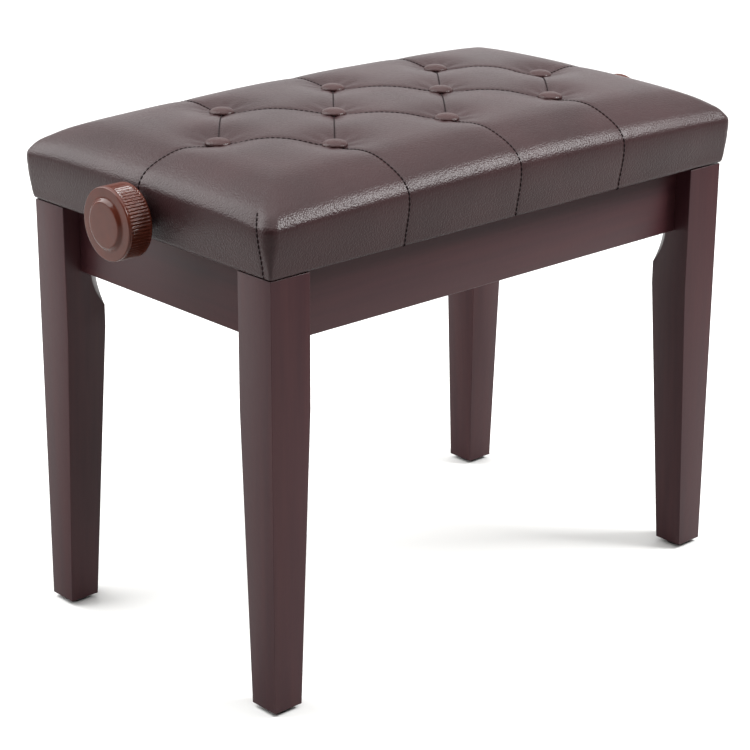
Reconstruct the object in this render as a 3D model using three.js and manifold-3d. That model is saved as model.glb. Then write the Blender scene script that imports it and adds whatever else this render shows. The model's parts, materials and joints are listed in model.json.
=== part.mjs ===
// Height-adjustable piano bench: a wooden base, a padded tufted seat, and a screw-driven
// pair of crossed arms between them. Millimetres. X runs along the bench, Y is its depth,
// +Z is up, and the origin is on the floor under the middle of the bench.

import * as THREE from 'three';
import { mergeVertices } from 'three/addons/utils/BufferGeometryUtils.js';
import Module from 'manifold-3d';

const wasm = await Module();
wasm.setup();

// ---------------------------------------------------------------- driving dimensions

const GAP = 0.3; // clearance between pieces that touch
const WELD = 0.2; // overlap of shapes that are joined into one solid
const PAST = 1; // how far a cutting shape runs past what it cuts

// Base
const BASE_LENGTH = 545; // over the legs' outer faces
const BASE_DEPTH = 320;
const BASE_TOP = 384; // top of the legs and aprons
const GLIDE_HEIGHT = 4;
const GLIDE_RADIUS = 11;
const LEG_WIDTH = 41;
const FOOT_WIDTH = 29.5;
const LEG_STRAIGHT = 117; // untapered length below the leg's top
const LEG_SHOULDER = 27; // side face left beside the cut-away inner corner
const LEG_RUNOUT = 36; // height of the curve that brings the corner back
const APRON_HEIGHT = 61;
const APRON_THICKNESS = 16;
const APRON_RECESS = 16.5; // behind the legs' outer faces
const BLOCK_THICKNESS = 20; // diagonal corner block
const BLOCK_CLEARANCE = 3; // below the base's top and above the aprons' bottom
const BOLT_RADIUS = 3.9;
const BOLT_SIDES = 16;
const BOLT_BITE = 22; // length of thread in the leg
const BOLT_HEAD_RADIUS = 7.2;
const BOLT_HEAD_HEIGHT = 5.3;
const WASHER_RADIUS = 9;
const WASHER_THICKNESS = 1.6;

// Seat
const SEAT_GAP = 3; // between the base's top and the lowered seat
const FRAME_INSET = 3; // seat frame, behind the legs' outer faces
const FRAME_HEIGHT = 33;
const FRAME_THICKNESS = 18;
const BOARD_THICKNESS = 8;
const FOAM_THICKNESS = 11.7;
const BOARD_CORNER = 6;
const FOAM_CORNER = 12;
const COVER_OVERHANG = 6; // widest part of the padded side, outside the legs
const COVER_LIP = 3.5; // overhang where side and top meet
const EDGE_INSET = 14; // how far the top edge rolls in
const EDGE_RISE = 8;
const CROWN = 12.5;
const CROWN_POWER = 3; // flatness of the crown's middle
const TOP_SEGMENTS = [18, 12, 3]; // facets of the quilted top along, across and up
const BUTTON_PITCH_X = 130;
const BUTTON_PITCH_Y = 75;
const BUTTON_RADIUS = 11;
const BUTTON_HEIGHT = 5.5;
const BUTTON_RIM = 1.5;
const BUTTON_DEPTH = 5.7; // how far each button is pulled into the top
const BUTTON_ROOM = 0.6; // around a button in its dimple
const DIMPLE_SIDES = 20;

// Height mechanism
const LIFT = 90; // travel of the seat
const SCREW_HEIGHT = 16.5; // screw axis above the seat's bottom edge
const SCREW_RADIUS = 6;
const JOURNAL_RADIUS = 5;
const LOWER_PIVOT_HEIGHT = 25; // above the aprons' bottom edge
const PIVOT_INSET = 25; // arms' end pivots, inside the short aprons
const SLIDE_INSET = 28;
const PIN_RADIUS = 4;
const SLOT_ROOM = 0.9; // around a pin that follows the arms only nearly
const ARM_WIDTH = 24;
const ARM_THICKNESS = 4;
const ARM_SPACING = 1; // between the two arms of a pair
const ARM_OFFSET = 4; // between the outer arm and its rail
const PIN_HEAD_RADIUS = 7;
const PIN_HEAD_THICKNESS = 2.5;
const PIN_OVERRUN = 3; // how far a rod stands out past its rail
const RAIL_WALL = 3;
const RAIL_FLANGE = 17;
const LOWER_RAIL_HEIGHT = 32;
const UPPER_RAIL_DROP = 12; // below the screw axis
const RAIL_SIDE_GAP = 8; // between a rail's flange and the corner block
const RAIL_END_GAP = 7; // between an upper rail and the seat's end rails
const NUT_WIDTH = 24;
const NUT_LENGTH = 30;
const BUSH_RADIUS = 8;
const BUSH_FLANGE_RADIUS = 13;
const BUSH_FLANGE_THICKNESS = 3;

// Knobs
const KNOB_RADIUS = 31.4;
const KNOB_THICKNESS = 24.2; // without the boss on its face
const KNOB_STANDOFF = 15.9; // knob's back face, outside the legs' outer plane
const KNOB_HUB_RADIUS = 11;
const KNOB_RIBS = 68;
const RIB_DEPTH = 1.2;
const KNOB_EDGE = 1.5;
const BOSS_RADIUS = 21.8; // raised middle of the knob's face
const BOSS_SLOPE = 2.4; // how much narrower its top is
const BOSS_HEIGHT = 3;
const KNOB_SHAFT_DEPTH = 11; // shaft inside the knob, past its back face

// ---------------------------------------------------------------- derived places

const halfX = BASE_LENGTH / 2;
const halfY = BASE_DEPTH / 2;
const apronBottom = BASE_TOP - APRON_HEIGHT;
const apronInner = APRON_RECESS + APRON_THICKNESS; // from the legs' outer faces
const innerX = halfX - apronInner;
const cutSum = LEG_WIDTH + LEG_SHOULDER; // the corner cut is the plane x + y = cutSum
const cutDepth = cutSum / Math.SQRT2;
const blockStart = cutDepth + GAP;
const blockEnd = blockStart + BLOCK_THICKNESS;
const blockRun = blockEnd * Math.SQRT2 - 2 * apronInner; // along each apron
const boltZ = (apronBottom + BASE_TOP) / 2;

const seatBottom = BASE_TOP + SEAT_GAP;
const frameTop = seatBottom + FRAME_HEIGHT;
const boardBottom = frameTop + GAP;
const boardTop = boardBottom + BOARD_THICKNESS;
const foamBottom = boardTop + GAP;
const foamTop = foamBottom + FOAM_THICKNESS;
const topBottom = foamTop + GAP;
const frameX = halfX - FRAME_INSET;
const frameY = halfY - FRAME_INSET;

const screwZ = seatBottom + SCREW_HEIGHT;
const pivotZ = apronBottom + LOWER_PIVOT_HEIGHT;
const pivotX = -(innerX - PIVOT_INSET);
const slideX = innerX - SLIDE_INSET;
const restRise = screwZ - pivotZ;
const armLength = Math.hypot(slideX - pivotX, restRise);
const restAngle = Math.asin(restRise / armLength);
const topAngle = Math.asin((restRise + LIFT) / armLength);
const slideTravel = armLength * (Math.cos(restAngle) - Math.cos(topAngle));
// How far the arms' true path leaves a straight line, halfway up
const halfwayAngle = (restAngle + topAngle) / 2;
const halfwayLag = armLength * (Math.cos(halfwayAngle) - (Math.cos(restAngle) + Math.cos(topAngle)) / 2);

const railOuterY = halfY - apronInner - blockRun - RAIL_SIDE_GAP;
const railY = railOuterY - RAIL_FLANGE;
const outerArmY = railY - ARM_OFFSET - ARM_THICKNESS;
const innerArmY = outerArmY - ARM_SPACING - ARM_THICKNESS;
const rodEndY = railY + RAIL_WALL + PIN_OVERRUN;

const knobBackX = halfX + KNOB_STANDOFF;
const knobFrontX = knobBackX + KNOB_THICKNESS;
const bossX = knobFrontX + BOSS_HEIGHT;
const shaftEndX = knobBackX + KNOB_SHAFT_DEPTH;

// ---------------------------------------------------------------- materials

const lacqueredWood = { color: 0x4a2826, roughness: 0.3, metalness: 0 };
const plainWood = { color: 0xb08a5c, roughness: 0.8, metalness: 0 };
const leather = { color: 0x46363a, roughness: 0.45, metalness: 0 };
const foam = { color: 0xd9cfa8, roughness: 0.95, metalness: 0 };
const blackSteel = { color: 0x1d1d1f, roughness: 0.5, metalness: 0.6 };
const brightSteel = { color: 0xb4b6b8, roughness: 0.35, metalness: 1 };
const brownPlastic = { color: 0x5e2a20, roughness: 0.3, metalness: 0 };
const blackPlastic = { color: 0x18181a, roughness: 0.6, metalness: 0 };

// ---------------------------------------------------------------- making solids

// One closed surface with shared vertices and no flat triangles.
function welded(geometry) {
  const bare = geometry.clone();
  bare.deleteAttribute('normal');
  bare.deleteAttribute('uv');
  const merged = mergeVertices(bare, 1e-4);
  const corners = merged.index.array;
  const kept = [];
  for (let i = 0; i < corners.length; i += 3) {
    const [a, b, c] = corners.slice(i, i + 3);
    if (a !== b && b !== c && c !== a) kept.push(a, b, c);
  }
  merged.setIndex(kept);
  return merged;
}

function toSolid(geometry) {
  const surface = welded(geometry);
  return new wasm.Manifold(new wasm.Mesh({
    numProp: 3,
    vertProperties: new Float32Array(surface.attributes.position.array),
    triVerts: new Uint32Array(surface.index.array),
  }));
}

function toGeometry(manifold) {
  const { vertProperties, triVerts } = manifold.getMesh();
  const geometry = new THREE.BufferGeometry();
  geometry.setAttribute('position', new THREE.BufferAttribute(vertProperties, 3));
  geometry.setIndex(new THREE.BufferAttribute(triVerts, 1));
  return geometry;
}

// The first piece joined with the others.
function join(first, ...others) {
  return toGeometry(others.reduce((whole, piece) => whole.add(toSolid(piece)), toSolid(first)));
}

// The first piece with the others cut out of it.
function cut(first, ...others) {
  return toGeometry(others.reduce((whole, piece) => whole.subtract(toSolid(piece)), toSolid(first)));
}

function overlap(first, second) {
  return toGeometry(toSolid(first).intersect(toSolid(second)));
}

function box(x0, x1, y0, y1, z0, z1) {
  const geometry = new THREE.BoxGeometry(x1 - x0, y1 - y0, z1 - z0);
  return geometry.translate((x0 + x1) / 2, (y0 + y1) / 2, (z0 + z1) / 2);
}

// A straight round bar between two points.
function bar(radius, from, to, sides = 24) {
  const start = new THREE.Vector3(...from);
  const along = new THREE.Vector3(...to).sub(start);
  const geometry = new THREE.CylinderGeometry(radius, radius, along.length(), sides);
  geometry.translate(0, along.length() / 2, 0);
  const turn = new THREE.Quaternion().setFromUnitVectors(
    new THREE.Vector3(0, 1, 0), along.clone().normalize());
  geometry.applyQuaternion(turn);
  return geometry.translate(start.x, start.y, start.z);
}

// An outline carried a length along the normal of the plane that it is drawn in.
// right and up are the outline's own axes, and from is where the carrying starts.
function carried(outline, right, up, from, length, curveSegments = 8) {
  const geometry = new THREE.ExtrudeGeometry(outline, {
    depth: length, bevelEnabled: false, curveSegments,
  });
  const normal = new THREE.Vector3().crossVectors(right, up);
  geometry.translate(0, 0, from);
  return geometry.applyMatrix4(new THREE.Matrix4().makeBasis(right, up, normal));
}

const X = new THREE.Vector3(1, 0, 0);
const Y = new THREE.Vector3(0, 1, 0);
const Z = new THREE.Vector3(0, 0, 1);
const INWARD = new THREE.Vector3(1, 1, 0).normalize(); // from a corner towards the middle

function polygon(points) {
  return new THREE.Shape(points.map(([a, b]) => new THREE.Vector2(a, b)));
}

// The geometry with its X and Y sides swapped over where a sign is negative.
function mirrored(geometry, signX, signY) {
  const copy = welded(geometry).scale(signX, signY, 1);
  if (signX * signY < 0) {
    const corners = copy.index.array;
    for (let i = 0; i < corners.length; i += 3) {
      [corners[i], corners[i + 1]] = [corners[i + 1], corners[i]];
    }
  }
  return copy;
}

const bench = new THREE.Group();

function place(name, geometry, finish, position = [0, 0, 0], rotationY = 0) {
  const surface = welded(geometry);
  surface.computeVertexNormals();
  const mesh = new THREE.Mesh(surface, new THREE.MeshStandardMaterial(finish));
  mesh.name = name;
  mesh.position.set(...position);
  mesh.rotation.y = rotationY;
  bench.add(mesh);
}

const LEFT_RIGHT = [['left', -1], ['right', 1]];
const FRONT_BACK = [['front', -1], ['back', 1]];

// ---------------------------------------------------------------- base: legs and aprons

// One leg, drawn from its outer corner inwards along +X and +Y.
function legGeometry() {
  const side = polygon([
    [0, GLIDE_HEIGHT],
    [FOOT_WIDTH, GLIDE_HEIGHT],
    [LEG_WIDTH, BASE_TOP - LEG_STRAIGHT],
    [LEG_WIDTH, BASE_TOP],
    [0, BASE_TOP],
  ]);
  const reach = 2 * LEG_WIDTH; // past the leg on both sides
  const taperX = carried(side, X, Z, -reach, 2 * reach);
  const taperY = carried(side, Y, Z, -reach, 2 * reach);
  return cut(overlap(taperX, taperY), cornerCut(), legBoltHole());
}

// The leg's inner corner is cut off for the corner block, and a round curve under the
// aprons brings it back to the full square.
function cornerCut() {
  const cornerDepth = Math.SQRT2 * LEG_WIDTH - cutDepth;
  const radius = (cornerDepth ** 2 + LEG_RUNOUT ** 2) / (2 * cornerDepth);
  const overrun = PAST / radius;
  const sweep = Math.asin(LEG_RUNOUT / radius) + overrun;
  const outline = new THREE.Shape();
  outline.moveTo(cutDepth, BASE_TOP + PAST);
  outline.lineTo(cutDepth, apronBottom);
  outline.absarc(cutDepth + radius, apronBottom, radius, Math.PI, Math.PI + sweep, false);
  outline.lineTo(cutDepth + LEG_WIDTH, BASE_TOP + PAST);
  return carried(outline, INWARD, Z, -LEG_WIDTH, 2 * LEG_WIDTH, 8);
}

function alongInward(distance, z) {
  return [distance / Math.SQRT2, distance / Math.SQRT2, z];
}

function legBoltHole() {
  const tip = cutDepth - BOLT_BITE - GAP;
  return bar(BOLT_RADIUS + GAP, alongInward(tip, boltZ), alongInward(blockEnd + PAST, boltZ), BOLT_SIDES);
}

// A three-cornered block that ties two aprons together and backs the leg's cut corner.
function blockGeometry() {
  const reach = blockEnd * Math.SQRT2;
  const low = apronBottom + BLOCK_CLEARANCE;
  const high = BASE_TOP - BLOCK_CLEARANCE;
  const slab = box(blockStart, blockEnd, -reach, reach, low, high).rotateZ(Math.PI / 4);
  const corner = box(apronInner + GAP, reach, apronInner + GAP, reach, low - PAST, high + PAST);
  return cut(overlap(slab, corner), legBoltHole());
}

function boltGeometry() {
  const face = blockEnd + GAP;
  const under = face + WASHER_THICKNESS;
  const tip = alongInward(cutDepth - BOLT_BITE, boltZ);
  const shank = bar(BOLT_RADIUS, tip, alongInward(under, boltZ), BOLT_SIDES);
  const washer = bar(WASHER_RADIUS, alongInward(face, boltZ), alongInward(under, boltZ));
  const head = bar(BOLT_HEAD_RADIUS, alongInward(under - WELD, boltZ),
    alongInward(under + BOLT_HEAD_HEIGHT, boltZ), 6);
  return join(washer, shank, head);
}

const leg = legGeometry();
const block = blockGeometry();
const legBolt = boltGeometry();
for (const [end, signX] of LEFT_RIGHT) {
  for (const [side, signY] of FRONT_BACK) {
    const corner = [signX * halfX, signY * halfY, 0];
    place(`leg_${side}_${end}`, mirrored(leg, -signX, -signY), lacqueredWood, corner);
    place(`corner_block_${side}_${end}`, mirrored(block, -signX, -signY), plainWood, corner);
    place(`leg_bolt_${side}_${end}`, mirrored(legBolt, -signX, -signY), brightSteel, corner);
    const glide = bar(GLIDE_RADIUS, [0, 0, 0], [0, 0, GLIDE_HEIGHT - GAP]);
    const underFoot = FOOT_WIDTH / 2;
    place(`foot_glide_${side}_${end}`, glide, blackPlastic,
      [signX * (halfX - underFoot), signY * (halfY - underFoot), 0]);
  }
}

for (const [side, signY] of FRONT_BACK) {
  const length = halfX - LEG_WIDTH - GAP;
  const middle = halfY - APRON_RECESS - APRON_THICKNESS / 2;
  const apron = box(-length, length, -APRON_THICKNESS / 2, APRON_THICKNESS / 2, apronBottom, BASE_TOP);
  place(`apron_${side}`, apron, lacqueredWood, [0, signY * middle, 0]);
}
for (const [end, signX] of LEFT_RIGHT) {
  const length = halfY - LEG_WIDTH - GAP;
  const middle = halfX - APRON_RECESS - APRON_THICKNESS / 2;
  const apron = box(-APRON_THICKNESS / 2, APRON_THICKNESS / 2, -length, length, apronBottom, BASE_TOP);
  place(`apron_${end}`, apron, lacqueredWood, [signX * middle, 0, 0]);
}

// ---------------------------------------------------------------- mechanism: rails

// A round-ended slot through a wall that faces Y, as a solid to cut out.
function slotCutter(x0, x1, z, radius, y0, y1) {
  return join(
    box(x0, x1, y0, y1, z - radius, z + radius),
    bar(radius, [x0, y0, z], [x0, y1, z]),
    bar(radius, [x1, y0, z], [x1, y1, z]),
  );
}

// An angle rail on the base, with a tab at each end that is screwed to a short apron.
// Its wall holds the lower pivot rod and has the slot for the sliding rod.
function lowerRailGeometry() {
  const endX = innerX - GAP;
  const bottom = pivotZ - LOWER_RAIL_HEIGHT / 2;
  const top = pivotZ + LOWER_RAIL_HEIGHT / 2;
  const wall = box(-endX, endX, railY, railY + RAIL_WALL, bottom, top);
  const flange = box(-endX, endX, railY, railOuterY, bottom, bottom + RAIL_WALL);
  const tabs = LEFT_RIGHT.map(([, sign]) => box(
    Math.min(sign * endX, sign * (endX - RAIL_WALL)), Math.max(sign * endX, sign * (endX - RAIL_WALL)),
    railY, railOuterY, bottom, top));
  const through = [railY - PAST, railY + RAIL_WALL + PAST];
  const pivotHole = bar(PIN_RADIUS + GAP, [pivotX, through[0], pivotZ], [pivotX, through[1], pivotZ]);
  const slot = slotCutter(slideX - slideTravel, slideX, pivotZ, PIN_RADIUS + SLOT_ROOM, ...through);
  return cut(join(wall, flange, ...tabs), pivotHole, slot);
}

// An angle rail under the seat board, with a welded pivot stud and the slot that
// guides the nut's cross bar.
function upperRailGeometry() {
  const endX = frameX - FRAME_THICKNESS - RAIL_END_GAP;
  const bottom = screwZ - UPPER_RAIL_DROP;
  const top = boardBottom - GAP;
  const wall = box(-endX, endX, railY, railY + RAIL_WALL, bottom, top);
  const flange = box(-endX, endX, railY, railOuterY, top - RAIL_WALL, top);
  const stud = bar(PIN_RADIUS, [pivotX, innerArmY - PIN_OVERRUN, screwZ], [pivotX, railY + WELD, screwZ]);
  const slot = slotCutter(slideX - slideTravel, slideX, screwZ, PIN_RADIUS + GAP,
    railY - PAST, railY + RAIL_WALL + PAST);
  return cut(join(wall, flange, stud), slot);
}

const lowerRail = lowerRailGeometry();
const upperRail = upperRailGeometry();
for (const [side, signY] of FRONT_BACK) {
  place(`lower_rail_${side}`, mirrored(lowerRail, 1, signY), blackSteel);
  place(`upper_rail_${side}`, mirrored(upperRail, 1, signY), blackSteel);
}
place('lower_pivot_rod', bar(PIN_RADIUS, [pivotX, -rodEndY, pivotZ], [pivotX, rodEndY, pivotZ]), brightSteel);
place('sliding_rod', bar(PIN_RADIUS, [slideX, -rodEndY, pivotZ], [slideX, rodEndY, pivotZ]), brightSteel);

// ---------------------------------------------------------------- mechanism: arms

function circle(x, radius) {
  const path = new THREE.Path();
  path.absarc(x, 0, radius, 0, 2 * Math.PI, true);
  return path;
}

function stadium(path, x0, x1, radius) {
  path.absarc(x0, 0, radius, Math.PI / 2, 1.5 * Math.PI, false);
  path.absarc(x1, 0, radius, -Math.PI / 2, Math.PI / 2, false);
  path.closePath();
  return path;
}

// A flat bar with round ends, pivoted at its own origin and reaching along +X.
function armGeometry(endHole, centreRadius, y0) {
  const outline = stadium(new THREE.Shape(), 0, armLength, ARM_WIDTH / 2);
  outline.holes.push(circle(0, PIN_RADIUS + GAP), circle(armLength / 2, centreRadius), endHole);
  // Drawn in X and Z, carried towards -Y
  return carried(outline, X, Z, -(y0 + ARM_THICKNESS), ARM_THICKNESS);
}

// The rising arm is pivoted on the base. Its far end has a slot, because the nut's
// cross bar moves in a straight line and the arm's end moves on a circle.
const endSlot = stadium(new THREE.Path(), armLength - halfwayLag - GAP, armLength, PIN_RADIUS + SLOT_ROOM);
const risingArm = armGeometry(endSlot, PIN_RADIUS + GAP, outerArmY);
const fallingArm = armGeometry(circle(armLength, PIN_RADIUS + GAP), PIN_RADIUS + SLOT_ROOM, innerArmY);

// A headed pin through the middle of both arms, fixed in the rising one.
function centrePinGeometry() {
  const innerFace = innerArmY - GAP;
  const outerFace = outerArmY + ARM_THICKNESS + GAP;
  const inner = innerFace - PIN_HEAD_THICKNESS;
  const outer = outerFace + PIN_HEAD_THICKNESS;
  return join(
    bar(PIN_RADIUS, [0, inner, 0], [0, outer, 0]),
    bar(PIN_HEAD_RADIUS, [0, inner, 0], [0, innerFace, 0]),
    bar(PIN_HEAD_RADIUS, [0, outerFace, 0], [0, outer, 0]),
  );
}

const centrePin = centrePinGeometry();
const centreX = (pivotX + slideX) / 2;
const centreZ = (pivotZ + screwZ) / 2;
for (const [side, signY] of FRONT_BACK) {
  place(`rising_arm_${side}`, mirrored(risingArm, 1, signY), blackSteel, [pivotX, 0, pivotZ], -restAngle);
  place(`falling_arm_${side}`, mirrored(fallingArm, 1, signY), blackSteel, [pivotX, 0, screwZ], restAngle);
  place(`centre_pin_${side}`, mirrored(centrePin, 1, signY), brightSteel, [centreX, 0, centreZ]);
}

// ---------------------------------------------------------------- mechanism: screw and nut

// A square nut with a cross bar welded through it, whose ends lift the rising arms.
function nutBarGeometry() {
  const half = NUT_WIDTH / 2;
  const nut = box(slideX - NUT_LENGTH / 2, slideX + NUT_LENGTH / 2, -half, half, screwZ - half, screwZ + half);
  const crossBar = bar(PIN_RADIUS, [slideX, -rodEndY, screwZ], [slideX, rodEndY, screwZ]);
  const bore = bar(SCREW_RADIUS + GAP, [slideX - NUT_LENGTH, 0, screwZ], [slideX + NUT_LENGTH, 0, screwZ]);
  return cut(join(nut, crossBar), bore);
}

// A turned profile, given as radius and distance along X, spun round the screw axis.
function turned(profile, sides) {
  const points = profile.map(([radius, along]) => new THREE.Vector2(radius, along));
  const geometry = new THREE.LatheGeometry(points, sides);
  return geometry.applyMatrix4(new THREE.Matrix4().makeBasis(Y, X, Z.clone().negate()))
    .translate(0, 0, screwZ);
}

const bushInnerX = frameX - FRAME_THICKNESS;
const shoulderX = bushInnerX - GAP;
const leadScrew = turned([
  [0, -shaftEndX],
  [JOURNAL_RADIUS, -shaftEndX],
  [JOURNAL_RADIUS, -shoulderX],
  [SCREW_RADIUS, -shoulderX],
  [SCREW_RADIUS, shoulderX],
  [JOURNAL_RADIUS, shoulderX],
  [JOURNAL_RADIUS, shaftEndX],
  [0, shaftEndX],
], 32);
place('nut_bar', nutBarGeometry(), brightSteel);
place('lead_screw', leadScrew, brightSteel);

// ---------------------------------------------------------------- seat: frame and board

for (const [side, signY] of FRONT_BACK) {
  const middle = frameY - FRAME_THICKNESS / 2;
  const half = FRAME_THICKNESS / 2;
  const rail = box(-frameX, frameX, -half, half, seatBottom + GAP, frameTop);
  place(`seat_rail_${side}`, rail, plainWood, [0, signY * middle, 0]);
}

const bushHole = bar(BUSH_RADIUS + GAP, [frameX - 2 * FRAME_THICKNESS, 0, screwZ], [knobFrontX, 0, screwZ]);
const endRail = cut(
  box(frameX - FRAME_THICKNESS, frameX, -(frameY - FRAME_THICKNESS - GAP), frameY - FRAME_THICKNESS - GAP,
    seatBottom + GAP, frameTop),
  bushHole,
);

function roundedSlab(halfLength, halfWidth, corner, bottom, top) {
  const outline = new THREE.Shape();
  outline.absarc(halfLength - corner, halfWidth - corner, corner, 0, Math.PI / 2);
  outline.absarc(-(halfLength - corner), halfWidth - corner, corner, Math.PI / 2, Math.PI);
  outline.absarc(-(halfLength - corner), -(halfWidth - corner), corner, Math.PI, 1.5 * Math.PI);
  outline.absarc(halfLength - corner, -(halfWidth - corner), corner, 1.5 * Math.PI, 2 * Math.PI);
  return carried(outline, X, Y, bottom, top - bottom, 6);
}

place('seat_board', roundedSlab(frameX, frameY, BOARD_CORNER, boardBottom, boardTop), plainWood);
place('foam_pad', roundedSlab(frameX, frameY, FOAM_CORNER, foamBottom, foamTop), foam);

// ---------------------------------------------------------------- seat: cover and buttons

// Half the cover's outside section at a given height: it leans out from the bottom edge
// and rolls back in at the top. Each point is overhang outside the legs, and height.
const sideHeight = foamTop - seatBottom;
const sideSection = [
  [-0.6, 0],
  [0.6, 0.05 * sideHeight],
  [0.85 * COVER_OVERHANG, 0.68 * sideHeight],
  [COVER_OVERHANG, 0.8 * sideHeight],
  [0.94 * COVER_OVERHANG, 0.91 * sideHeight],
  [COVER_LIP, sideHeight],
];

// One padded side of the cover, whose ends meet their neighbours at the corner seams.
// The section is drawn for the far +X side and carried along Y.
function sideCoverGeometry(frameHalf, legHalf, neighbourFrameHalf) {
  const inner = frameHalf + GAP;
  const outline = polygon([
    [inner, seatBottom],
    ...sideSection.map(([overhang, height]) => [legHalf + overhang, seatBottom + height]),
    [inner, foamTop],
  ]);
  const geometry = welded(carried(outline, X, Z, -1, 2));
  const places = geometry.attributes.position;
  for (let i = 0; i < places.count; i += 1) {
    const outward = places.getX(i) - frameHalf;
    const end = neighbourFrameHalf + outward - GAP / 2;
    places.setY(i, Math.sign(places.getY(i)) * end);
  }
  return geometry;
}

const endCover = cut(sideCoverGeometry(frameX, halfX, frameY), bushHole);
const longCover = sideCoverGeometry(frameY, halfY, frameX);
for (const [end, signX] of LEFT_RIGHT) {
  place(`seat_rail_${end}`, mirrored(endRail, signX, 1), plainWood);
  place(`side_cover_${end}`, mirrored(endCover, signX, 1), leather);
}
for (const [side, signY] of FRONT_BACK) {
  place(`side_cover_${side}`, mirrored(longCover.clone().rotateZ(Math.PI / 2), 1, signY), leather);
}

// Height of the quilted top's upper surface above its bottom face.
function crownHeight(acrossX, acrossY) {
  const alongX = 1 - Math.abs(acrossX) ** CROWN_POWER;
  const alongY = 1 - Math.abs(acrossY) ** CROWN_POWER;
  return EDGE_RISE + CROWN * alongX * alongY;
}

// The quilted top is a slab whose edge rolls in and whose upper face is crowned.
function quiltedTop() {
  const geometry = new THREE.BoxGeometry(2, 2, 1, ...TOP_SEGMENTS);
  const places = geometry.attributes.position;
  for (let i = 0; i < places.count; i += 1) {
    const acrossX = places.getX(i);
    const acrossY = places.getY(i);
    const rise = places.getZ(i) + 0.5;
    const inset = EDGE_INSET * (1 - Math.sqrt(1 - rise ** 2)) - COVER_LIP;
    places.setXYZ(i, acrossX * (halfX - inset), acrossY * (halfY - inset),
      topBottom + rise * crownHeight(acrossX, acrossY));
  }
  return geometry;
}

function surfaceZ(x, y) {
  const inset = EDGE_INSET - COVER_LIP;
  return topBottom + crownHeight(x / (halfX - inset), y / (halfY - inset));
}

// Rows of three, four and three, staggered by half a pitch.
const buttonSpots = [
  ...[-1, 0, 1].map((step) => ['front', step, -1]),
  ...[-1.5, -0.5, 0.5, 1.5].map((step) => ['middle', step, 0]),
  ...[-1, 0, 1].map((step) => ['back', step, 1]),
].map(([row, step, rowSign]) => [row, step * BUTTON_PITCH_X, rowSign * BUTTON_PITCH_Y]);

const dimples = buttonSpots.map(([, x, y]) => {
  const floor = surfaceZ(x, y) - BUTTON_DEPTH;
  const mouth = floor + CROWN + BUTTON_DEPTH;
  return bar(BUTTON_RADIUS + BUTTON_ROOM, [x, y, floor], [x, y, mouth], DIMPLE_SIDES);
});
place('seat_cushion', cut(quiltedTop(), ...dimples), leather);

// A low dome over a short straight rim.
function buttonGeometry() {
  const dome = BUTTON_HEIGHT - BUTTON_RIM;
  const points = [new THREE.Vector2(0, 0), new THREE.Vector2(BUTTON_RADIUS, 0)];
  const steps = 4;
  for (let i = 0; i <= steps; i += 1) {
    const angle = (i / steps) * (Math.PI / 2);
    points.push(new THREE.Vector2(BUTTON_RADIUS * Math.cos(angle), BUTTON_RIM + dome * Math.sin(angle)));
  }
  points[points.length - 1].x = 0;
  return new THREE.LatheGeometry(points, 20).rotateX(Math.PI / 2);
}

const rowCount = {};
for (const [row, x, y] of buttonSpots) {
  rowCount[row] = (rowCount[row] ?? 0) + 1;
  const floor = surfaceZ(x, y) - BUTTON_DEPTH + GAP;
  place(`button_${row}_${rowCount[row]}`, buttonGeometry(), leather, [x, y, floor]);
}

// ---------------------------------------------------------------- bushes and knobs

// Overhang of the cover's side at a height above the seat's bottom edge.
function sideOverhang(height) {
  const next = sideSection.findIndex(([, level]) => level >= height);
  const [overhangA, levelA] = sideSection[next - 1];
  const [overhangB, levelB] = sideSection[next];
  return overhangA + (overhangB - overhangA) * (height - levelA) / (levelB - levelA);
}

const bushFaceX = halfX + sideOverhang(SCREW_HEIGHT + BUSH_FLANGE_RADIUS) + GAP;
const bushEndX = bushFaceX + BUSH_FLANGE_THICKNESS;
const bush = turned([
  [JOURNAL_RADIUS + GAP, bushInnerX],
  [BUSH_RADIUS, bushInnerX],
  [BUSH_RADIUS, bushFaceX],
  [BUSH_FLANGE_RADIUS, bushFaceX],
  [BUSH_FLANGE_RADIUS, bushEndX],
  [JOURNAL_RADIUS + GAP, bushEndX],
  [JOURNAL_RADIUS + GAP, bushInnerX],
], 32);

// A thick ribbed disc with a hub behind it and a raised boss in the middle of its face.
function knobGeometry() {
  const hubStart = bushEndX + 2 * GAP;
  const boreEnd = shaftEndX + GAP;
  const body = turned([
    [0, boreEnd],
    [JOURNAL_RADIUS + GAP, boreEnd],
    [JOURNAL_RADIUS + GAP, hubStart],
    [KNOB_HUB_RADIUS, hubStart],
    [KNOB_HUB_RADIUS, knobBackX],
    [KNOB_RADIUS - KNOB_EDGE, knobBackX],
    [KNOB_RADIUS, knobBackX + KNOB_EDGE],
    [KNOB_RADIUS, knobFrontX - KNOB_EDGE],
    [KNOB_RADIUS - KNOB_EDGE, knobFrontX],
    [BOSS_RADIUS, knobFrontX],
    [BOSS_RADIUS - BOSS_SLOPE, bossX],
    [0, bossX],
  ], 60);
  const outline = new THREE.Shape();
  for (let i = 0; i < 2 * KNOB_RIBS; i += 1) {
    const angle = (i / KNOB_RIBS) * Math.PI;
    const radius = KNOB_RADIUS - (i % 2) * RIB_DEPTH;
    const point = [radius * Math.cos(angle), radius * Math.sin(angle)];
    if (i === 0) outline.moveTo(...point);
    else outline.lineTo(...point);
  }
  const ribs = carried(outline, Y, Z, hubStart - PAST, bossX - hubStart + 2 * PAST)
    .translate(0, 0, screwZ);
  return overlap(body, ribs);
}

const knob = knobGeometry();
for (const [end, signX] of LEFT_RIGHT) {
  place(`bush_${end}`, mirrored(bush, signX, 1), blackPlastic);
  place(`knob_${end}`, mirrored(knob, signX, 1), brownPlastic);
}

export default bench;
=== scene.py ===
import json
import math

import bmesh
import bpy
import numpy as np
from mathutils import Matrix, Vector


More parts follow.
